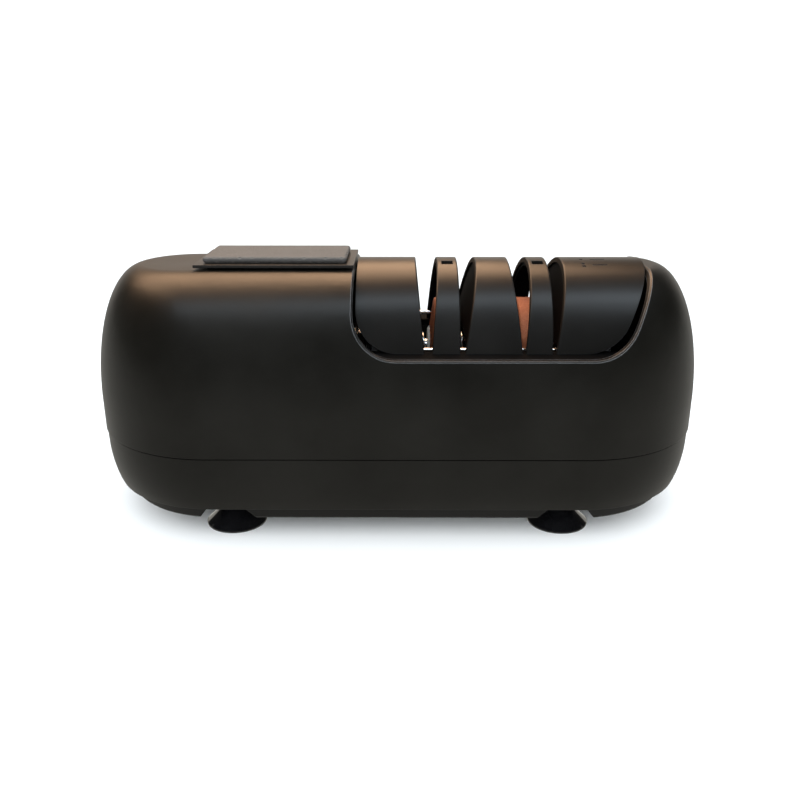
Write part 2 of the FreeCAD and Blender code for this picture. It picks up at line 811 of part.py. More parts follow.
def guide_liner(name):
    """Black guide walls inside a block, one behind each slot face."""
    lf, lc, rf, rc = module_edges()[name]
    disc = plate_over_rods(barrel_radius - barrel_wall)
    walls = []
    if name != "left_guide":
        walls.append(slanted_slab(lf + liner_recess, lc + liner_recess,
                                  lf + liner_recess + liner_wall, lc + liner_recess + liner_wall))
    if name != "right_guide":
        walls.append(slanted_slab(rf - liner_recess - liner_wall, rc - liner_recess - liner_wall,
                                  rf - liner_recess, rc - liner_recess))
    shape = disc.common(walls[0])
    if len(walls) == 2:
        shape = shape.fuse(disc.common(walls[1]))
        whole = slanted_slab(*moved_edges(name, liner_recess, -liner_recess))
        tie = arch(barrel_radius - barrel_wall, barrel_radius - barrel_wall - arch_liner_wall)
        shape = shape.fuse(tie.common(whole).common(slab(axis_height + barrel_radius / 2, far)))
    return shape.removeSplitter()


def fin_liner(name):
    """Black arch inside a fin."""
    ring = arch(barrel_radius - barrel_wall, barrel_radius - barrel_wall - arch_liner_wall)
    return ring.common(slanted_slab(*moved_edges(name, liner_recess, -liner_recess))).removeSplitter()


def module_frame():
    """Shelf round the barrel: a higher front ledge, a lower rear ledge and two end strips."""
    inner = body(casing_wall + fit_gap)
    x0 = opening_left - frame_reach
    x1 = opening_right - frame_right_margin
    front = box(x0, x1, -far, 0, shelf_top - shelf_thickness, shelf_top)
    rear = box(x0, x1, 0, far, rear_shelf_top - shelf_thickness, rear_shelf_top)
    step = box(x0, x1, -shelf_thickness / 2, 0, rear_shelf_top - shelf_thickness, shelf_top)
    plate = fused(front, rear, step).common(inner)
    left = opening_left + frame_window_start
    right = trough_right + right_bearing_gap + bearing_width + frame_window_end
    window = box(left, right, -window_half_depth, window_half_depth, 0, far)
    coupling_way = x_rod(coupling_radius + shaft_hole_gap, x0 - 1, left + 1)
    return plate.cut(window).cut(coupling_way).removeSplitter()


def dust_trough():
    """Open box under the wheels, with ears that hold the stop rods."""
    half = window_half_depth
    low = axis_height - wheel_radius - trough_clearance
    x0, x1 = trough_left, trough_right
    top = rear_shelf_top - shelf_thickness
    shell = box(x0, x1, -half - trough_wall, half + trough_wall, low - trough_wall, top)
    shell = shell.fuse(box(x0, x1, -half - trough_wall, -half, top, shelf_top - shelf_thickness))
    shell = shell.cut(box(x0 + trough_wall, x1 - trough_wall, -half, half, low, far))
    shell = shell.cut(x_rod(shaft_radius + shaft_hole_gap, x0 - 1, x1 + 1))
    ear_top = axis_height + ear_over_axis
    for x in (x0, x1 - trough_wall):
        for y0 in (-half + ear_inset, half - ear_inset - ear_width):
            shell = shell.fuse(box(x, x + trough_wall, y0, y0 + ear_width, top - 1, ear_top))
    for y in (-rod_offset, rod_offset):
        shell = shell.cut(x_rod(rod_radius + rod_gap, x0 - 1, x1 + 1, y, rod_height))
    return shell.removeSplitter()


def stop_rod(side):
    rod = x_rod(rod_radius, trough_left - rod_reach, trough_right + rod_reach, side * rod_offset, rod_height)
    return rod.makeChamfer(rod_edge, [e for e in rod.Edges if e.Curve.TypeId == "Part::GeomCircle"])


# ================================================================ wheels and shaft
def wheel(stage):
    """Abrasive ring: a flat rim band between two shallow cones."""
    x = wheel_centres[stage]
    rim, hub = rim_half_widths[stage], hub_half_widths[stage] - hub_flange
    outline = [
        (x - hub, hub_radius), (x - rim - rim_flare, wheel_radius - rim_band),
        (x - rim, wheel_radius - rim_edge_drop), (x - rim + rim_edge, wheel_radius),
        (x + rim - rim_edge, wheel_radius), (x + rim, wheel_radius - rim_edge_drop),
        (x + rim + rim_flare, wheel_radius - rim_band), (x + hub, hub_radius),
    ]
    return turned_on_axis(outline)


def wheel_hub(stage):
    x = wheel_centres[stage]
    half = hub_half_widths[stage]
    bore = shaft_radius + running_gap
    ring = hub_radius - hub_edge
    outline = [
        (x - half, bore), (x - half, ring), (x - half + hub_flange, hub_radius),
        (x + half - hub_flange, hub_radius), (x + half, ring), (x + half, bore),
    ]
    return turned_on_axis(outline)


def collar_places():
    """Left faces of the three collars that the springs push against."""
    first, second = wheel_centres
    middle = (first + hub_half_widths[0] + second - hub_half_widths[1]) / 2
    return [
        first - hub_half_widths[0] - collar_margin - collar_width,
        middle - collar_width / 2,
        second + hub_half_widths[1] + collar_margin,
    ]


def spring_spans():
    """Start and end of each spring along the shaft."""
    collars = collar_places()
    spans = {}
    for stage, name in enumerate(("stage_one", "stage_two")):
        face_l = wheel_centres[stage] - hub_half_widths[stage]
        face_r = wheel_centres[stage] + hub_half_widths[stage]
        spans[name + "_left_spring"] = (collars[stage] + collar_width, face_l)
        spans[name + "_right_spring"] = (face_r, collars[stage + 1])
    return spans


def spring(x0, x1):
    return x_rod(spring_outer, x0, x1).cut(x_rod(spring_outer - spring_wire, x0 - 1, x1 + 1))


def collar(x):
    ring = x_rod(collar_radius, x, x + collar_width)
    edges = [e for e in ring.Edges if e.Curve.TypeId == "Part::GeomCircle"]
    return ring.makeChamfer(collar_edge, edges).cut(x_rod(shaft_radius, x - 1, x + collar_width + 1))


def bearing_block_spans():
    left = trough_left - left_bearing_gap - bearing_width
    right = trough_right + right_bearing_gap
    return {"left_bearing": (left, left + bearing_width), "right_bearing": (right, right + bearing_width)}


def bearing(x0, x1):
    ring = x_rod(bearing_radius, x0, x1).cut(x_rod(shaft_radius + running_gap, x0 - 1, x1 + 1))
    floor = x0 + bearing_groove
    groove = x_rod(bearing_radius - bearing_race, x0 - 1, floor)
    groove = groove.cut(x_rod(shaft_radius + bearing_race, x0 - 1, floor))
    other = groove.mirror(V((x0 + x1) / 2, 0, 0), V(1, 0, 0))
    return ring.cut(groove).cut(other)


def bearing_block(x0, x1):
    half = bearing_radius + bearing_block_rim
    pillar = box(x0, x1, -half, half, floor_top, axis_height)
    reach = half + bearing_foot_reach
    foot = box(x0, x1, -reach, reach, floor_top, floor_top + bearing_foot_thickness)
    shape = fused(pillar, foot, x_rod(half, x0, x1))
    return shape.cut(x_rod(bearing_radius, x0 - 1, x1 + 1))


def wheel_shaft():
    """Plain shaft from the coupling through both bearings."""
    end = bearing_block_spans()["right_bearing"][1] + shaft_end_reach
    rod = x_rod(shaft_radius, coupling_middle + shaft_end_gap, end)
    return rod.makeChamfer(shaft_edge, [e for e in rod.Edges if e.Curve.TypeId == "Part::GeomCircle"])


def coupling():
    sleeve = x_rod(coupling_radius, coupling_left, coupling_right)
    ends = [e for e in sleeve.Edges if e.Curve.TypeId == "Part::GeomCircle"]
    sleeve = sleeve.makeChamfer(coupling_edge, ends)
    sleeve = sleeve.cut(x_rod(motor_shaft_radius, coupling_left - 1, coupling_middle))
    sleeve = sleeve.cut(x_rod(shaft_radius, coupling_middle, coupling_right + 1))
    for shift in (-slit_pitch, 0, slit_pitch):
        x = coupling_middle + shift
        slit = x_rod(coupling_radius + 1, x - slit_width / 2, x + slit_width / 2)
        slit = slit.cut(x_rod(coupling_radius - slit_depth, x - 1, x + 1))
        sleeve = sleeve.cut(slit)
    return sleeve


# ================================================================ motor
def motor_can():
    can = x_rod(motor_radius, motor_left + motor_rim, motor_right)
    circles = [e for e in can.Edges if e.Curve.TypeId == "Part::GeomCircle"]
    can = can.makeFillet(motor_round, [e for e in circles if e.Vertexes[0].Point.x > motor_right - 1])
    can = can.fuse(x_rod(motor_boss_radius, motor_right - 1, motor_right + motor_boss_length))
    can = can.cut(x_rod(motor_radius - motor_wall, motor_left, motor_right - motor_face))
    can = can.cut(x_rod(motor_shaft_radius + running_gap, motor_left, motor_right + far))
    for side in (-1, 1):
        hole = x_rod(screw_radius, motor_right - motor_face - 1, motor_right + 1, side * motor_screw_offset)
        can = can.cut(hole)
    return can.removeSplitter()


def motor_end_cap():
    inside = motor_left + motor_cap_depth
    plug = x_rod(motor_radius - motor_wall, motor_left + motor_rim, inside)
    plug = plug.cut(x_rod(motor_radius - 3 * motor_wall, motor_left + 2 * motor_rim, inside + 1))
    rim = x_rod(motor_radius - motor_rim_step, motor_left, motor_left + motor_rim)
    hub = x_rod(motor_boss_radius - cap_hub_step, motor_left - cap_hub_reach, motor_left + cap_hub_depth)
    cap = fused(plug, rim, hub)
    for side in (-1, 1):
        y = side * tag_offset
        cap = cap.fuse(box(motor_left - tag_length, motor_left, y - tag_width / 2, y + tag_width / 2,
                           axis_height - tag_thickness / 2, axis_height + tag_thickness / 2))
    return cap.cut(x_rod(motor_shaft_radius + running_gap, motor_left - tag_length, motor_left + far))


def armature():
    """Slotted iron core and commutator on the motor's shaft."""
    middle = (motor_left + motor_right) / 2 + armature_shift
    x0 = middle - armature_length / 2
    core = x_rod(armature_radius, x0, x0 + armature_length)
    half = armature_slot_width / 2
    for i in range(armature_slots):
        slot = box(x0 - 1, x0 + armature_length + 1, -half, half,
                   axis_height + armature_radius * armature_slot_share, axis_height + far)
        slot.rotate(V(0, 0, axis_height), V(1, 0, 0), 360 / armature_slots * i)
        core = core.cut(slot)
    core = core.fuse(x_rod(commutator_radius, x0 - commutator_length, x0))
    return core.cut(x_rod(motor_shaft_radius, x0 - commutator_length - 1, x0 + far)).removeSplitter()


def motor_shaft():
    return x_rod(motor_shaft_radius, motor_left - motor_shaft_tail, coupling_middle - shaft_end_gap)


def motor_bracket():
    x0, x1 = motor_right, motor_right + bracket_wall
    top = axis_height + bracket_over_axis
    plate = box(x0, x1, -bracket_half_width, bracket_half_width, floor_top, top)
    foot = box(x0, x1 + bracket_foot, -bracket_half_width, bracket_half_width,
               floor_top, floor_top + bracket_foot_thickness)
    shape = fused(plate, foot)
    shape = shape.cut(x_rod(motor_boss_radius + fit_gap, x0 - 1, x1 + 1))
    for side in (-1, 1):
        shape = shape.cut(x_rod(screw_radius + fit_gap, x0 - 1, x1 + 1, side * motor_screw_offset))
        shape = shape.cut(z_rod(screw_radius + fit_gap, x1 + bracket_hole_out, side * bracket_hole_offset,
                                floor_top - 1, floor_top + 2 * bracket_foot_thickness))
    return shape


def motor_screw(side):
    y = side * motor_screw_offset
    seat = motor_right + bracket_wall
    head = x_rod(screw_head_radius, seat, seat + screw_head_height, y)
    shank = x_rod(screw_radius - screw_gap, motor_right - motor_face + 0.5, seat + 0.5, y)
    return fused(head, shank)


# ================================================================ switch, inlet and board
def centred_box(x, z, size, y0, y1):
    return box(x - size[0] / 2, x + size[0] / 2, y0, y1, z - size[1] / 2, z + size[1] / 2)


def switch_cutout():
    size = (switch_body[0] + 2 * fit_gap, switch_body[1] + 2 * fit_gap)
    return centred_box(switch_x, panel_height, size, panel_y - panel_cut_reach, body_half_depth)


def inlet_cutout():
    radius = inlet_body_radius + fit_gap
    return y_rod(radius, inlet_x, panel_height, panel_y - panel_cut_reach, body_half_depth)


def switch_housing():
    bezel = centred_box(switch_x, panel_height, switch_bezel, panel_y, panel_y + switch_bezel_out)
    upright = [e for e in bezel.Edges if e.Length < switch_bezel_out + touching]
    bezel = bezel.makeFillet(bezel_round, upright)
    shape = fused(bezel, centred_box(switch_x, panel_height, switch_body, panel_y - switch_depth, panel_y))
    hole = centred_box(switch_x, panel_height, switch_hole, panel_y - rocker_well, body_half_depth)
    for shift in (-blade_pitch, 0, blade_pitch):
        root = panel_y - switch_depth
        shape = shape.fuse(centred_box(switch_x + shift, panel_height, (blade_thickness, blade_width),
                                       root - blade_length, root))
    return shape.cut(hole).removeSplitter()


def switch_rocker():
    """Rocker in its off position, with a shallow valley on its face."""
    pivot = panel_y + rocker_pivot_out
    half, tall = rocker_half_length, rocker_half_height
    outline = [
        (switch_x - half, pivot - rocker_side_depth), (switch_x, pivot - rocker_middle_depth),
        (switch_x + half, pivot - rocker_side_depth), (switch_x + half, pivot + rocker_crown),
        (switch_x, pivot + rocker_crown - rocker_valley),
        (switch_x - half, pivot + rocker_crown),
    ]
    low = panel_height - tall
    shape = Part.Face(ring_of_points([(x, y, low) for x, y in outline])).extrude(V(0, 0, 2 * tall))
    ends = [e for e in shape.Edges if e.BoundBox.ZLength > tall and e.Vertexes[0].Point.y > pivot + 1]
    shape = shape.makeFillet(rocker_round, ends)
    shape.rotate(V(switch_x, pivot, panel_height), V(0, 0, 1), -rocker_swing)
    return shape


def power_inlet():
    flange = y_rod(inlet_flange_radius, inlet_x, panel_height, panel_y, panel_y + inlet_flange_out)
    circles = [e for e in flange.Edges if e.Curve.TypeId == "Part::GeomCircle"]
    rims = [e for e in circles if e.Vertexes[0].Point.y > panel_y + touching]
    flange = flange.makeFillet(inlet_round, rims)
    tube = y_rod(inlet_body_radius, inlet_x, panel_height, panel_y - inlet_depth, panel_y)
    shape = fused(flange, tube)
    floor = panel_y - inlet_depth + inlet_floor
    socket = y_rod(inlet_socket_radius, inlet_x, panel_height, floor, body_half_depth)
    return shape.cut(socket)


def inlet_pin():
    root = panel_y - inlet_depth + inlet_floor
    pin = y_rod(inlet_pin_radius, inlet_x, panel_height, root, root + inlet_pin_length)
    tip = [e for e in pin.Edges if e.Vertexes[0].Point.y > root + 1 and e.Curve.TypeId == "Part::GeomCircle"]
    return pin.makeChamfer(inlet_pin_edge, tip)


def inlet_nut():
    """Six-sided nut on the inlet's tube, tight against the inside of the casing."""
    outside = panel_y - casing_wall
    radius = nut_width / math.sqrt(3)
    corners = []
    for i in range(6):
        turn = math.radians(60 * i)
        across, up = radius * math.cos(turn), radius * math.sin(turn)
        corners.append((inlet_x + across, outside - nut_thickness, panel_height + up))
    nut = Part.Face(ring_of_points(corners)).extrude(V(0, nut_thickness, 0))
    return nut.cut(y_rod(inlet_body_radius, inlet_x, panel_height, outside - far, outside + 1))


def circuit_board():
    x0, x1, y0, y1 = board_box()
    low = floor_top + board_lift
    board = box(x0, x1, y0, y1, low, low + board_thickness)
    for x, y in board_post_places():
        board = board.cut(z_rod(board_hole_radius, x, y, low - 1, low + board_thickness + 1))
    return board


def board_parts():
    """Capacitor and terminal block on the board: one solid each."""
    x0, x1, y0, y1 = board_box()
    low = floor_top + board_lift + board_thickness
    middle = (y0 + y1) / 2
    capacitor = z_rod(capacitor_radius, x1 - capacitor_margin, middle, low, low + capacitor_height)
    circles = [e for e in capacitor.Edges if e.Curve.TypeId == "Part::GeomCircle"]
    rims = [e for e in circles if e.Vertexes[0].Point.z > low + 1]
    capacitor = capacitor.makeFillet(capacitor_round, rims)
    block_x = x0 + terminal_margin
    length, width, height = terminal_size
    terminal = box(block_x, block_x + length, middle - width / 2, middle + width / 2, low, low + height)
    for i in range(3):
        x = block_x + terminal_hole_start + terminal_hole_pitch * i
        terminal = terminal.cut(z_rod(terminal_hole_radius, x, middle, low + height - terminal_hole_depth,
                                      low + height + 1))
    return {"board_capacitor": capacitor, "board_terminal": terminal}


# ================================================================ stone on its tray
def tray_pad():
    m = tray_pad_margin
    half = tray_width / 2 - m
    return box(tray_left + m, tray_right - m, -half, half, top_height, tray_low)


def stone_tray():
    half = tray_width / 2
    plate = box(tray_left, tray_right, -half, half, tray_low, tray_low + tray_thickness)
    return plate.makeChamfer(tray_edge, plate.Edges)


def honing_stone():
    middle = (tray_left + tray_right) / 2
    low = tray_low + tray_thickness
    half, wide = stone_length / 2, stone_width / 2
    stone = box(middle - half, middle + half, -wide, wide, low, low + stone_thickness)
    corners = [e for e in stone.Edges if abs(e.Vertexes[0].Point.z - e.Vertexes[1].Point.z) > 1]
    stone = stone.makeFillet(stone_corner, corners)
    top = [e for e in stone.Edges if e.BoundBox.ZMin > low + stone_thickness - touching]
    return stone.makeChamfer(stone_edge, top)


# ================================================================ everything
def main():
    save("upper_casing", upper_casing())
    save("lower_casing", lower_casing())
    save("base_cover", base_cover())
    sides = ("front_left", "front_right", "rear_left", "rear_right")
    for side, (x, y) in zip(sides, cup_places()):
        save(side + "_suction_cup", suction_cup(x, y))
    for side, (x, y) in zip(sides, screw_places()):
        save(side + "_screw", base_screw(x, y))

    for name in ("left_guide", "middle_guide", "right_guide"):
        save(name + "_block", block(name))
        save(name + "_liner", guide_liner(name))
    for name in ("stage_one_fin", "stage_two_fin"):
        save(name, block(name))
        save(name + "_liner", fin_liner(name))
    save("module_frame", module_frame())
    save("dust_trough", dust_trough())
    save("front_stop_rod", stop_rod(-1))
    save("rear_stop_rod", stop_rod(1))

    for stage, name in enumerate(("stage_one", "stage_two")):
        save(name + "_wheel", wheel(stage))
        save(name + "_hub", wheel_hub(stage))
    for name, (x0, x1) in spring_spans().items():
        save(name, spring(x0, x1))
    for name, x in zip(("left", "middle", "right"), collar_places()):
        save(name + "_spring_collar", collar(x))
    save("wheel_shaft", wheel_shaft())
    for name, (x0, x1) in bearing_block_spans().items():
        save(name, bearing(x0, x1))
        save(name + "_block", bearing_block(x0, x1))
    save("shaft_coupling", coupling())

    save("motor_can", motor_can())
    save("motor_end_cap", motor_end_cap())
    save("motor_armature", armature())
    save("motor_shaft", motor_shaft())
    save("motor_bracket", motor_bracket())
    save("front_motor_screw", motor_screw(-1))
    save("rear_motor_screw", motor_screw(1))

    save("switch_housing", switch_housing())
    save("switch_rocker", switch_rocker())
    save("power_inlet", power_inlet())
    save("inlet_pin", inlet_pin())
    save("inlet_nut", inlet_nut())
    save("circuit_board", circuit_board())
    for name, shape in board_parts().items():
        save(name, shape)

    save("tray_pad", tray_pad())
    save("stone_tray", stone_tray())
    save("honing_stone", honing_stone())


main()
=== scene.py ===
import math

import bpy
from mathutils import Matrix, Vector, noise


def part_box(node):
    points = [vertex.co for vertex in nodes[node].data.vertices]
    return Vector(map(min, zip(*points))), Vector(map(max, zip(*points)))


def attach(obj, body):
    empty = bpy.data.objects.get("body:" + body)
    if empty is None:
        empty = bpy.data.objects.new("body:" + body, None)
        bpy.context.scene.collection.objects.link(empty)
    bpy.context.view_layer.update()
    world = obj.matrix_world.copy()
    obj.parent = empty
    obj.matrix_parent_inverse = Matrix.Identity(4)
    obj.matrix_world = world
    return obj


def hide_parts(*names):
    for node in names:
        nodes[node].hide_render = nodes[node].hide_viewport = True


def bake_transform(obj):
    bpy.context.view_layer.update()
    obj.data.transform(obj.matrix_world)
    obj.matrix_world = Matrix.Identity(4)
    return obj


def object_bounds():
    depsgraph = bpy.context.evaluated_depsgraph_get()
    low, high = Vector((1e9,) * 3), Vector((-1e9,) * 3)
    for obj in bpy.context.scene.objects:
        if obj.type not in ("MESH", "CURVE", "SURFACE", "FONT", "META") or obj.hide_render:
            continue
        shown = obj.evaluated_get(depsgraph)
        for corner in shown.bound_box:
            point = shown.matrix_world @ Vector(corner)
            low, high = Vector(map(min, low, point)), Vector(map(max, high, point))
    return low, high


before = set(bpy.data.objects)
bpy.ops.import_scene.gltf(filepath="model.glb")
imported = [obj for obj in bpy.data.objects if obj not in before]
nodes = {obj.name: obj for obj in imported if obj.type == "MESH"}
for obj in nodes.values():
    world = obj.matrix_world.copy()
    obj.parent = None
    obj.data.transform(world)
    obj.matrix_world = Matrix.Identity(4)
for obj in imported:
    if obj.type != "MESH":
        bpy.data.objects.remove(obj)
cad_low, cad_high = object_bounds()

MM = 0.001

# Sockets of a colour mix node: its two colours and its result.
FIRST_COLOUR, SECOND_COLOUR, MIXED_COLOUR = 6, 7, 2
edge_samples = 4


# ---------------------------------------------------------------- finishes

class Finish:
    """A material being made: a principled shader and the nodes that feed it."""

    def __init__(self, name, colour, roughness, metallic=0.0, specular=0.5):
        self.material = bpy.data.materials.new(name)
        self.material.use_nodes = True
        tree = self.material.node_tree
        self.nodes, self.links = tree.nodes, tree.links
        self.nodes.clear()
        self.shader = self.nodes.new("ShaderNodeBsdfPrincipled")
        output = self.nodes.new("ShaderNodeOutputMaterial")
        self.links.new(self.shader.outputs["BSDF"], output.inputs["Surface"])
        self.set(Metallic=metallic, Roughness=roughness)
        self.shader.inputs["Base Color"].default_value = (*colour, 1)
        self.shader.inputs["Specular IOR Level"].default_value = specular
        self.place = self.nodes.new("ShaderNodeTexCoord").outputs["Object"]
        self.normal = None

    def set(self, **values):
        for name, value in values.items():
            self.shader.inputs[name.replace("_", " ")].default_value = value
        return self

    def stretched(self, scale):
        """The object's coordinates, stretched by scale along X, Y and Z."""
        mapping = self.nodes.new("ShaderNodeMapping")
        mapping.inputs["Scale"].default_value = scale
        self.links.new(self.place, mapping.inputs["Vector"])
        return mapping.outputs["Vector"]

    def noise(self, size, detail=2.0, place=None):
        """Soft noise whose patches are about size metres across."""
        texture = self.nodes.new("ShaderNodeTexNoise")
        texture.inputs["Scale"].default_value = 1.0 / size
        texture.inputs["Detail"].default_value = detail
        self.links.new(place or self.place, texture.inputs["Vector"])
        return texture.outputs["Fac"]

    def cells(self, size):
        """Distance to the nearest of many scattered points, about size metres apart."""
        texture = self.nodes.new("ShaderNodeTexVoronoi")
        texture.inputs["Scale"].default_value = 1.0 / size
        self.links.new(self.place, texture.inputs["Vector"])
        return texture.outputs["Distance"]

    def spread(self, source, low, high, start=0.0, end=1.0):
        """source from start to end becomes low to high."""
        remap = self.nodes.new("ShaderNodeMapRange")
        for name, value in (("From Min", start), ("From Max", end), ("To Min", low), ("To Max", high)):
            remap.inputs[name].default_value = value
        self.links.new(source, remap.inputs["Value"])
        return remap.outputs["Result"]

    def between(self, amount, first, second):
        """A colour between two, by amount. Each is a colour or another node's output."""
        mix = self.nodes.new("ShaderNodeMix")
        mix.data_type = "RGBA"
        self.links.new(amount, mix.inputs["Factor"])
        for socket, colour in ((mix.inputs[FIRST_COLOUR], first), (mix.inputs[SECOND_COLOUR], second)):
            if isinstance(colour, tuple):
                socket.default_value = (*colour, 1)
            else:
                self.links.new(colour, socket)
        return mix.outputs[MIXED_COLOUR]

    def rounded_normal(self, radius):
        """The surface's normal, as if its edges were rounded by radius metres."""
        rounded = self.nodes.new("ShaderNodeBevel")
        rounded.samples = edge_samples
        rounded.inputs["Radius"].default_value = radius
        return rounded.outputs["Normal"]

    def wear_and_highlight_edges(self, radius):
        """How far the surface turns within radius metres: 0 on a flat face, more at an edge."""
        compare = self.nodes.new("ShaderNodeVectorMath")
        compare.operation = "DOT_PRODUCT"
        self.links.new(self.rounded_normal(radius), compare.inputs[0])
        self.links.new(self.nodes.new("ShaderNodeNewGeometry").outputs["Normal"], compare.inputs[1])
        return self.spread(compare.outputs["Value"], 1.0, 0.0, 0.8, 0.998)

    def facing(self, axis, least=0.75, most=0.95):
        """1 where the surface faces along an axis, 0 elsewhere."""
        split = self.nodes.new("ShaderNodeSeparateXYZ")
        self.links.new(self.nodes.new("ShaderNodeNewGeometry").outputs["Normal"], split.inputs["Vector"])
        size = self.nodes.new("ShaderNodeMath")
        size.operation = "ABSOLUTE"
        self.links.new(split.outputs[axis], size.inputs[0])
        return self.spread(size.outputs["Value"], 0.0, 1.0, least, most)

    def over(self, height):
        """1 over a height in metres, 0 under it."""
        split = self.nodes.new("ShaderNodeSeparateXYZ")
        self.links.new(self.place, split.inputs["Vector"])
        return self.spread(split.outputs["Z"], 0.0, 1.0, height - MM, height + MM)

    def combined(self, how, first, second):
        """Two amounts combined by a maths operation, such as MULTIPLY or MAXIMUM."""
        result = self.nodes.new("ShaderNodeMath")
        result.operation = how
        self.links.new(first, result.inputs[0])
        self.links.new(second, result.inputs[1])
        return result.outputs["Value"]

    def soft_edges(self, radius):
        """Shade the edges as if they were rounded by radius metres."""
        self.normal = self.rounded_normal(radius)
        return self

    def bump(self, height, depth):
        """Raise the surface by depth metres where height is 1."""
        bump = self.nodes.new("ShaderNodeBump")
        bump.inputs["Strength"].default_value = 1.0
        bump.inputs["Distance"].default_value = depth
        self.links.new(height, bump.inputs["Height"])
        if self.normal:
            self.links.new(self.normal, bump.inputs["Normal"])
        self.normal = bump.outputs["Normal"]
        return self

    def feed(self, name, source):
        self.links.new(source, self.shader.inputs[name])
        return self

    def done(self):
        if self.normal:
            self.links.new(self.normal, self.shader.inputs["Normal"])
        return self.material


def moulded_plastic(name, colour, roughness, grain=0.35 * MM, depth=0.008 * MM, edge=0.35 * MM,
                    specular=0.2, rim=None, rim_over=0.0, matte_shaded_sides=False, dull_shaded_under=None):
    """Plastic with a spark-eroded grain, soft edges and slightly uneven gloss.

    rim is the colour of a painted highlight along its edges over the height rim_over; matte_shaded_sides
    dulls the faces across the body and darkens them as painted shade, and dull_shaded_under does both to
    the level ledges under a height.
    """
    finish = Finish(name, colour, roughness, specular=specular)
    finish.soft_edges(edge)
    patches = finish.noise(28 * MM, 3.0)
    lighter = tuple(1.5 * c + 0.001 for c in colour)
    tint = finish.between(finish.spread(patches, 0.0, 1.0, 0.35, 0.7), colour, lighter)
    gloss = finish.spread(patches, roughness - 0.03, roughness + 0.04, 0.3, 0.7)
    if matte_shaded_sides:
        # Painted shade: faces turned across the body are painted at a quarter of the colour, as well as
        # made matte.
        sideways = finish.facing("X")
        tint = finish.between(sideways, tint, tuple(0.25 * c for c in colour))
        gloss = finish.spread(sideways, roughness, 0.9)
    if dull_shaded_under:
        low = finish.spread(finish.over(dull_shaded_under), 1.0, 0.0)
        # Painted shade: level ledges under the height are painted at a third of the colour, as well as
        # made matte.
        ledge = finish.combined("MULTIPLY", finish.facing("Z", 0.8, 0.95), low)
        tint = finish.between(ledge, tint, tuple(0.3 * c for c in colour))
        gloss = finish.combined("MAXIMUM", gloss, ledge)
    if rim:
        # Painted highlight: the edges over the given height take the paler rim colour.
        edges = finish.combined("MULTIPLY", finish.wear_and_highlight_edges(0.4 * MM), finish.over(rim_over))
        tint = finish.between(finish.spread(edges, 0.0, 0.9), tint, rim)
    finish.feed("Base Color", tint)
    finish.feed("Roughness", gloss)
    finish.bump(finish.noise(grain, 2.0), depth)
    return finish.done()


def plain_metal(name, colour, roughness, streak=(1, 1, 1)):
    """Metal with fine turning or brushing streaks."""
    size, depth = 0.6 * MM, 0.003 * MM
    finish = Finish(name, colour, roughness, metallic=1.0)
    finish.soft_edges(0.15 * MM)
    lines = finish.noise(size, 3.0, finish.stretched(streak))
    darker = tuple(0.8 * c for c in colour)
    finish.feed("Base Color", finish.between(lines, darker, colour))
    finish.feed("Roughness", finish.spread(lines, roughness * 0.75, roughness * 1.3, 0.3, 0.7))
    finish.bump(lines, depth)
    return finish.done()


def abrasive(name, colour, dark, grit):
    """Copper-coloured abrasive: tight grit with a few bright and a few dark grains."""
    finish = Finish(name, colour, 0.5, metallic=0.35)
    grains = finish.cells(grit)
    patches = finish.noise(3 * MM, 3.0)
    body_colour = finish.between(finish.spread(grains, 0.0, 1.0, 0.15, 0.75), colour, dark)
    worn_patches = finish.spread(patches, 0.0, 0.35, 0.4, 0.75)
    finish.feed("Base Color", finish.between(worn_patches, body_colour, dark))
    finish.feed("Roughness", finish.spread(grains, 0.38, 0.7, 0.1, 0.7))
    finish.bump(grains, -0.3 * grit)
    return finish.done()


def stone_finish():
    """Dark grey sintered stone: fine pores, pale grains and broader cloudy patches."""
    base, pale, deep = (0.13, 0.122, 0.113), (0.36, 0.35, 0.335), (0.06, 0.055, 0.05)
    finish = Finish("honing_stone_grain", base, 0.85, specular=0.4)
    grains = finish.cells(0.32 * MM)
    clouds = finish.noise(5 * MM, 4.0)
    fine = finish.noise(0.22 * MM, 3.0)
    mottled = finish.between(finish.spread(fine, 0.0, 1.0, 0.35, 0.65), deep, base)
    clouded = finish.between(finish.spread(clouds, 0.0, 0.45, 0.35, 0.7), mottled, (0.12, 0.11, 0.1))
    speckled = finish.between(finish.spread(grains, 1.0, 0.0, 0.05, 0.16), clouded, pale)
    worn = finish.wear_and_highlight_edges(0.45 * MM)
    # Painted shade: the sides of the stone are painted far darker than its top.
    shaded_stone_sides = finish.between(finish.spread(grains, 1.0, 0.0, 0.02, 0.1), (0.035, 0.033, 0.032), pale)
    faces = finish.between(finish.facing("Z", 0.45, 0.85), shaded_stone_sides, speckled)
    finish.feed("Base Color", finish.between(finish.spread(worn, 0.0, 0.35), faces, pale))
    finish.feed("Roughness", finish.spread(fine, 0.75, 0.95, 0.3, 0.7))
    finish.bump(finish.noise(0.3 * MM, 4.0), 0.09 * MM)
    finish.bump(clouds, 0.08 * MM)
    return finish.done()


def glossy_rubber(name, colour):
    """Soft vinyl with a wet gloss and faint mould flow."""
    finish = Finish(name, colour, 0.16, specular=0.5)
    finish.soft_edges(0.15 * MM)
    flow = finish.noise(3.5 * MM, 3.0)
    finish.feed("Roughness", finish.spread(flow, 0.1, 0.22, 0.3, 0.7))
    finish.feed("Base Color", finish.between(flow, colour, tuple(2 * c + 0.002 for c in colour)))
    finish.bump(flow, 0.04 * MM)
    finish.set(Coat_Weight=0.4, Coat_Roughness=0.06)
    return finish.done()
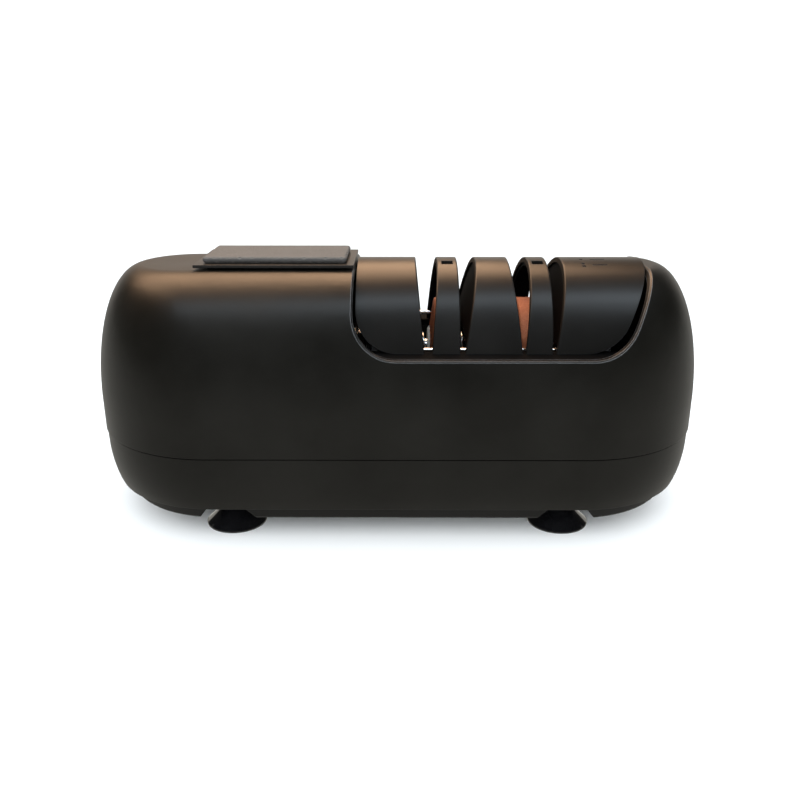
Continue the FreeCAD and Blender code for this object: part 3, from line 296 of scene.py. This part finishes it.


# Heights in metres that tell parts of the casings apart: painted shade darkens the level ledges under the
# first, and a painted highlight lines the edges over the second.
ledge_level = 0.08   # between the opening's ledge and the flat top
rim_level = 0.05     # between the casings' seam and the opening's rim
finishes = {
    # The shell's pale grey rim colour is a painted highlight along the opening's edge, and its dark low
    # ledges are painted shade.
    "shell": moulded_plastic("satin_shell", (0.0028, 0.0025, 0.0018), 0.38,
                             rim=(0.24, 0.25, 0.265), rim_over=rim_level, dull_shaded_under=ledge_level),
    # The module's faintly paler rim colour is a painted highlight along its edges, and its darker faces
    # across the body are painted shade.
    "module": moulded_plastic("satin_module", (0.0042, 0.0039, 0.0036), 0.34, edge=0.3 * MM,
                              rim=(0.02, 0.021, 0.022), matte_shaded_sides=True),
    "liner": moulded_plastic("matte_liner", (0.0025, 0.0025, 0.0027), 0.75, specular=0.03),
    "trough": moulded_plastic("smooth_trough", (0.008, 0.0078, 0.0075), 0.22, depth=0.002 * MM,
                              specular=0.5),
    "base": moulded_plastic("textured_base", (0.004, 0.0038, 0.0036), 0.55, depth=0.02 * MM, specular=0.1),
    "tray": moulded_plastic("thin_tray", (0.006, 0.0055, 0.005), 0.34, edge=0.1 * MM),
    "foam": moulded_plastic("pad_foam", (0.012, 0.012, 0.012), 0.95, grain=0.5 * MM, depth=0.12 * MM),
    "rubber": glossy_rubber("cup_vinyl", (0.002, 0.002, 0.0024)),
    "zinc": plain_metal("zinc_plate", (0.55, 0.55, 0.54), 0.34),
    "chrome": plain_metal("bright_rod", (0.93, 0.93, 0.94), 0.12, streak=(0.1, 1, 1)),
    "spring": plain_metal("spring_wire", (0.92, 0.91, 0.9), 0.2),
    "coarse": abrasive("coarse_abrasive", (0.66, 0.215, 0.09), (0.30, 0.075, 0.03), 0.22 * MM),
    "fine": abrasive("fine_abrasive", (0.7, 0.25, 0.11), (0.36, 0.1, 0.045), 0.15 * MM),
    "acetal": moulded_plastic("pale_acetal", (0.62, 0.60, 0.55), 0.3, specular=0.5),
    "steel": plain_metal("ground_steel", (0.56, 0.56, 0.57), 0.22, streak=(1.5, 0.2, 0.2)),
    "bearing": plain_metal("bearing_steel", (0.6, 0.6, 0.61), 0.18),
    "nylon": moulded_plastic("glass_filled_nylon", (0.16, 0.16, 0.165), 0.5, depth=0.015 * MM),
    "aluminium": plain_metal("turned_aluminium", (0.72, 0.72, 0.74), 0.25, streak=(3, 0.3, 0.3)),
    "can": plain_metal("plated_can", (0.52, 0.53, 0.53), 0.32, streak=(0.2, 1, 1)),
    "phenolic": moulded_plastic("black_phenolic", (0.02, 0.019, 0.019), 0.45),
    "core": plain_metal("lacquered_core", (0.2, 0.19, 0.19), 0.42, streak=(6, 0.2, 0.2)),
    "switch": moulded_plastic("gloss_switch", (0.008, 0.008, 0.008), 0.2, depth=0.002 * MM, specular=0.5),
    "brass": plain_metal("nickelled_brass", (0.78, 0.68, 0.45), 0.2),
    "board": moulded_plastic("green_board", (0.015, 0.13, 0.05), 0.35, specular=0.5),
    "sleeve": moulded_plastic("blue_sleeve", (0.02, 0.04, 0.16), 0.25, specular=0.5),
    "terminal": moulded_plastic("terminal_green", (0.05, 0.24, 0.1), 0.4, specular=0.5),
    "stone": stone_finish(),
}


def node_finishes():
    """The finish of every CAD node, by name."""
    chosen = {
        "upper_casing": "shell", "lower_casing": "shell", "base_cover": "base",
        "module_frame": "liner", "dust_trough": "trough",
        "front_stop_rod": "chrome", "rear_stop_rod": "chrome",
        "stage_one_wheel": "coarse", "stage_two_wheel": "fine",
        "stage_one_hub": "acetal", "stage_two_hub": "acetal",
        "wheel_shaft": "steel", "motor_shaft": "steel",
        "left_bearing": "bearing", "right_bearing": "bearing",
        "left_bearing_block": "nylon", "right_bearing_block": "nylon",
        "shaft_coupling": "aluminium", "motor_can": "can", "motor_end_cap": "phenolic",
        "motor_armature": "core", "motor_bracket": "zinc",
        "front_motor_screw": "zinc", "rear_motor_screw": "zinc",
        "switch_housing": "switch", "switch_rocker": "switch",
        "power_inlet": "switch", "inlet_pin": "brass", "inlet_nut": "brass",
        "circuit_board": "board", "board_capacitor": "sleeve", "board_terminal": "terminal",
        "tray_pad": "foam", "stone_tray": "tray", "honing_stone": "stone",
    }
    for block in ("left_guide", "middle_guide", "right_guide"):
        chosen[block + "_block"] = "module"
        chosen[block + "_liner"] = "liner"
    for stage in ("stage_one", "stage_two"):
        chosen[stage + "_fin"] = "module"
        chosen[stage + "_fin_liner"] = "liner"
        chosen[stage + "_left_spring"] = chosen[stage + "_right_spring"] = "spring"
    for collar in ("left", "middle", "right"):
        chosen[collar + "_spring_collar"] = "steel"
    for end in ("front", "rear"):
        for side in ("left", "right"):
            chosen[f"{end}_{side}_suction_cup"] = "rubber"
            chosen[f"{end}_{side}_screw"] = "zinc"
    return chosen


for node_name, finish_name in node_finishes().items():
    node = nodes[node_name]
    if not node.material_slots:
        node.data.materials.append(None)
    for place in node.material_slots:
        place.material = finishes[finish_name]


# ---------------------------------------------------------------- modelling helpers

def start_editing(piece):
    bpy.ops.object.select_all(action="DESELECT")
    bpy.context.view_layer.objects.active = piece
    piece.select_set(True)
    bpy.ops.object.mode_set(mode="EDIT")
    bpy.ops.mesh.select_all(action="SELECT")


def stop_editing():
    bpy.ops.object.mode_set(mode="OBJECT")


def settle(piece, name, finish):
    """Give a finished piece its name and finish, with its place in its mesh."""
    bpy.ops.object.select_all(action="DESELECT")
    bpy.context.view_layer.objects.active = piece
    piece.select_set(True)
    bpy.ops.object.transform_apply(location=True, rotation=True, scale=True)
    piece.name = name
    piece.data.name = name
    piece.data.materials.clear()
    piece.data.materials.append(finishes[finish])
    return piece


# ---------------------------------------------------------------- honing stone

corner_radius = 1.1 * MM
arris = 0.25 * MM
grid = 0.26 * MM            # fine enough to carry the chips
chip_reach = 0.7 * MM       # from an arris
chip_depth = 0.75 * MM
unevenness_depth = 0.03 * MM
# How finely each noise varies, per metre.
large_chips, small_chips, face_grain = 900, 2600, 3500


def stone_slab():
    """The stone's slab, with rounded corners, thin arrises and an even grid of points."""
    low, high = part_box("honing_stone")
    size, middle = high - low, (high + low) / 2
    bpy.ops.object.select_all(action="DESELECT")
    bpy.ops.mesh.primitive_cube_add(size=1, location=middle)
    stone = bpy.context.object
    start_editing(stone)
    bpy.ops.transform.resize(value=size)
    bpy.ops.mesh.select_all(action="DESELECT")
    stop_editing()
    for edge in stone.data.edges:
        a, b = (stone.data.vertices[i].co for i in edge.vertices)
        edge.select = abs(a.z - b.z) > size.z / 2
    bpy.ops.object.mode_set(mode="EDIT")
    bpy.ops.mesh.bevel(offset=corner_radius, segments=3, affect="EDGES")
    bpy.ops.mesh.select_all(action="SELECT")
    stop_editing()
    bevel = stone.modifiers.new("arris", "BEVEL")
    bevel.width = arris
    bevel.segments = 2
    bpy.ops.object.modifier_apply(modifier="arris")
    remesh = stone.modifiers.new("grid", "REMESH")
    remesh.mode = "VOXEL"
    remesh.voxel_size = grid
    bpy.ops.object.modifier_apply(modifier="grid")
    return stone, low, high


def chip(piece, low, high):
    """Press small chips into the edges of a slab, and a fine unevenness into its faces."""
    normals = [vertex.normal.copy() for vertex in piece.data.vertices]
    moved = []
    for vertex, normal in zip(piece.data.vertices, normals):
        place = vertex.co + piece.location
        depths = [min(place[i] - low[i], high[i] - place[i]) for i in range(3)]
        inward = Vector([(1 if place[i] - low[i] < high[i] - place[i] else -1) * (depths[i] < chip_reach)
                         for i in range(3)])
        near = max(0.0, 1 - sorted(depths)[1] / chip_reach)
        bite = max(0.0, noise.noise(place * large_chips) - 0.08)
        bite += 0.4 * max(0.0, noise.noise(place * small_chips))
        unevenness = unevenness_depth * (0.6 + noise.noise(place * face_grain))
        moved.extend(vertex.co + inward * near * bite * chip_depth - normal * unevenness)
    piece.data.vertices.foreach_set("co", moved)
    piece.data.update()


stone, stone_low, stone_high = stone_slab()
chip(stone, stone_low, stone_high)
bpy.ops.object.shade_smooth_by_angle(angle=math.radians(35))
settle(stone, "honing_stone_slab", "stone")
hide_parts("honing_stone")
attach(stone, "housing")


# ---------------------------------------------------------------- coil springs

def coil_spring(node_name):
    """A wound spring that fills the box of a CAD spring."""
    wire, turns = 0.45 * MM, 4
    low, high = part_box(node_name)
    axis = (low + high) / 2
    outer = (high.z - low.z) / 2
    length = high.x - low.x
    pitch = (length - 2 * wire) / turns
    bpy.ops.object.select_all(action="DESELECT")
    bpy.ops.mesh.primitive_circle_add(vertices=12, radius=wire, location=(0, 0, 0))
    spring = bpy.context.object
    start_editing(spring)
    bpy.ops.transform.translate(value=(low.x + wire, outer - wire, 0))
    stop_editing()
    wind = spring.modifiers.new("wind", "SCREW")
    wind.axis = "X"
    wind.screw_offset = pitch
    wind.iterations = turns
    wind.steps = wind.render_steps = 40
    wind.use_merge_vertices = False
    bpy.ops.object.modifier_apply(modifier="wind")
    start_editing(spring)
    bpy.ops.mesh.select_all(action="DESELECT")
    bpy.ops.mesh.select_non_manifold()
    bpy.ops.mesh.edge_face_add()
    bpy.ops.mesh.select_all(action="SELECT")
    bpy.ops.mesh.normals_make_consistent(inside=False)
    stop_editing()
    spring.location = (0, axis.y, axis.z)
    bpy.ops.object.shade_smooth_by_angle(angle=math.radians(50))
    return settle(spring, node_name + "_coil", "spring")


def copied_coil(coil, first_node, node_name):
    """The same coil again, in the place of another CAD spring of its length."""
    bpy.ops.object.select_all(action="DESELECT")
    bpy.context.view_layer.objects.active = coil
    coil.select_set(True)
    bpy.ops.object.duplicate()
    copy = bpy.context.object
    copy.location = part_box(node_name)[0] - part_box(first_node)[0]
    return settle(copy, node_name + "_coil", "spring")


outer_coil = coil_spring("stage_one_left_spring")
inner_coil = coil_spring("stage_one_right_spring")
coils = {
    "stage_one_left_spring": outer_coil,
    "stage_one_right_spring": inner_coil,
    "stage_two_left_spring": copied_coil(inner_coil, "stage_one_right_spring", "stage_two_left_spring"),
    "stage_two_right_spring": copied_coil(outer_coil, "stage_one_left_spring", "stage_two_right_spring"),
}
for stage in ("stage_one", "stage_two"):
    for side in ("left", "right"):
        spring_node = f"{stage}_{side}_spring"
        coil = coils[spring_node]
        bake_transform(coil)
        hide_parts(spring_node)


# ---------------------------------------------------------------- floor, lights and camera

def lay_floor():
    bpy.ops.object.select_all(action="DESELECT")
    bpy.ops.mesh.primitive_plane_add(size=12, location=(0, 0, cad_low.z))
    floor = bpy.context.object
    floor.name = "floor"
    paint = Finish("pale_floor", (0.91, 0.91, 0.905), 0.9, specular=0.0)
    paint.feed("Roughness", paint.spread(paint.noise(0.2), 0.85, 0.95))
    floor.data.materials.append(paint.done())
    floor.visible_glossy = False


def light_world():
    """A bright room for matte light. Mirrored light is warmer, and dim but for the pale floor below."""
    room, mirrored_room = (0.93, 0.97, 1.0, 1), (1.0, 0.98, 0.9, 1)
    room_strength = 1.35
    mirrored_by_height = {"From Min": -0.1, "From Max": 0.12, "To Min": 0.7, "To Max": 0.05}
    world = bpy.data.worlds.new("studio")
    bpy.context.scene.world = world
    world.use_nodes = True
    tree = world.node_tree
    background = tree.nodes["Background"]
    is_mirrored = tree.nodes.new("ShaderNodeLightPath").outputs["Is Glossy Ray"]
    tint = tree.nodes.new("ShaderNodeMix")
    tint.data_type = "RGBA"
    tint.inputs[FIRST_COLOUR].default_value = room
    tint.inputs[SECOND_COLOUR].default_value = mirrored_room
    tree.links.new(is_mirrored, tint.inputs["Factor"])
    tree.links.new(tint.outputs[MIXED_COLOUR], background.inputs["Color"])
    direction = tree.nodes.new("ShaderNodeSeparateXYZ")
    tree.links.new(tree.nodes.new("ShaderNodeTexCoord").outputs["Generated"], direction.inputs["Vector"])
    mirrored = tree.nodes.new("ShaderNodeMapRange")
    for name, value in mirrored_by_height.items():
        mirrored.inputs[name].default_value = value
    tree.links.new(direction.outputs["Z"], mirrored.inputs["Value"])
    strength = tree.nodes.new("ShaderNodeMapRange")
    strength.inputs["To Min"].default_value = room_strength
    tree.links.new(mirrored.outputs["Result"], strength.inputs["To Max"])
    tree.links.new(is_mirrored, strength.inputs["Value"])
    tree.links.new(strength.outputs["Result"], background.inputs["Strength"])


def panel(name, place, towards, size, colour, brightness, matte=False):
    """A soft light panel, seen in mirrored light, or in matte light only.

    Its brightness is the light it sends per area and angle.
    """
    data = bpy.data.lights.new(name, "AREA")
    data.shape = "RECTANGLE"
    data.size, data.size_y = size
    data.color = colour
    data.energy = brightness * math.pi * size[0] * size[1]
    light = bpy.data.objects.new(name, data)
    light.location = place
    light.rotation_euler = (Vector(place) - Vector(towards)).to_track_quat("Z", "Y").to_euler()
    light.visible_diffuse = matte
    light.visible_glossy = not matte
    light.visible_camera = False
    bpy.context.scene.collection.objects.link(light)


def light_panels():
    centre = (0, 0, 0.09)
    cool, warm = (0.78, 0.9, 1.0), (1.0, 0.63, 0.38)
    panel("front_softbox", (0.08, -0.24, 0.95), centre, (1.2, 0.19), cool, 8.5)
    panel("right_softbox", (0.46, -0.28, 0.92), centre, (0.5, 0.15), cool, 6)
    panel("rear_warm_panel", (-0.28, 0.47, 0.86), centre, (1.2, 0.6), warm, 10.5)
    panel("rear_card", (0, 0.95, 0.24), (0, 0, 0.2), (2.2, 0.46), (1.0, 0.93, 0.84), 0.8)
    panel("floor_fill", (0, -1.2, 0.8), (0, 0, 0), (1.6, 1.6), (0.92, 0.97, 1.0), 3.0, matte=True)


def camera():
    data = bpy.data.cameras.new("camera")
    data.lens = 37.34
    data.sensor_width = 36
    viewer = bpy.data.objects.new("camera", data)
    viewer.location = (0.0021, -0.2864, 0.141)
    look_down, roll = 0.347, 0.004
    viewer.rotation_euler = (math.pi / 2 - look_down, 0, roll)
    bpy.context.scene.collection.objects.link(viewer)
    bpy.context.scene.camera = viewer


lay_floor()
light_world()
light_panels()
camera()
bpy.context.scene.view_settings.view_transform = "Standard"
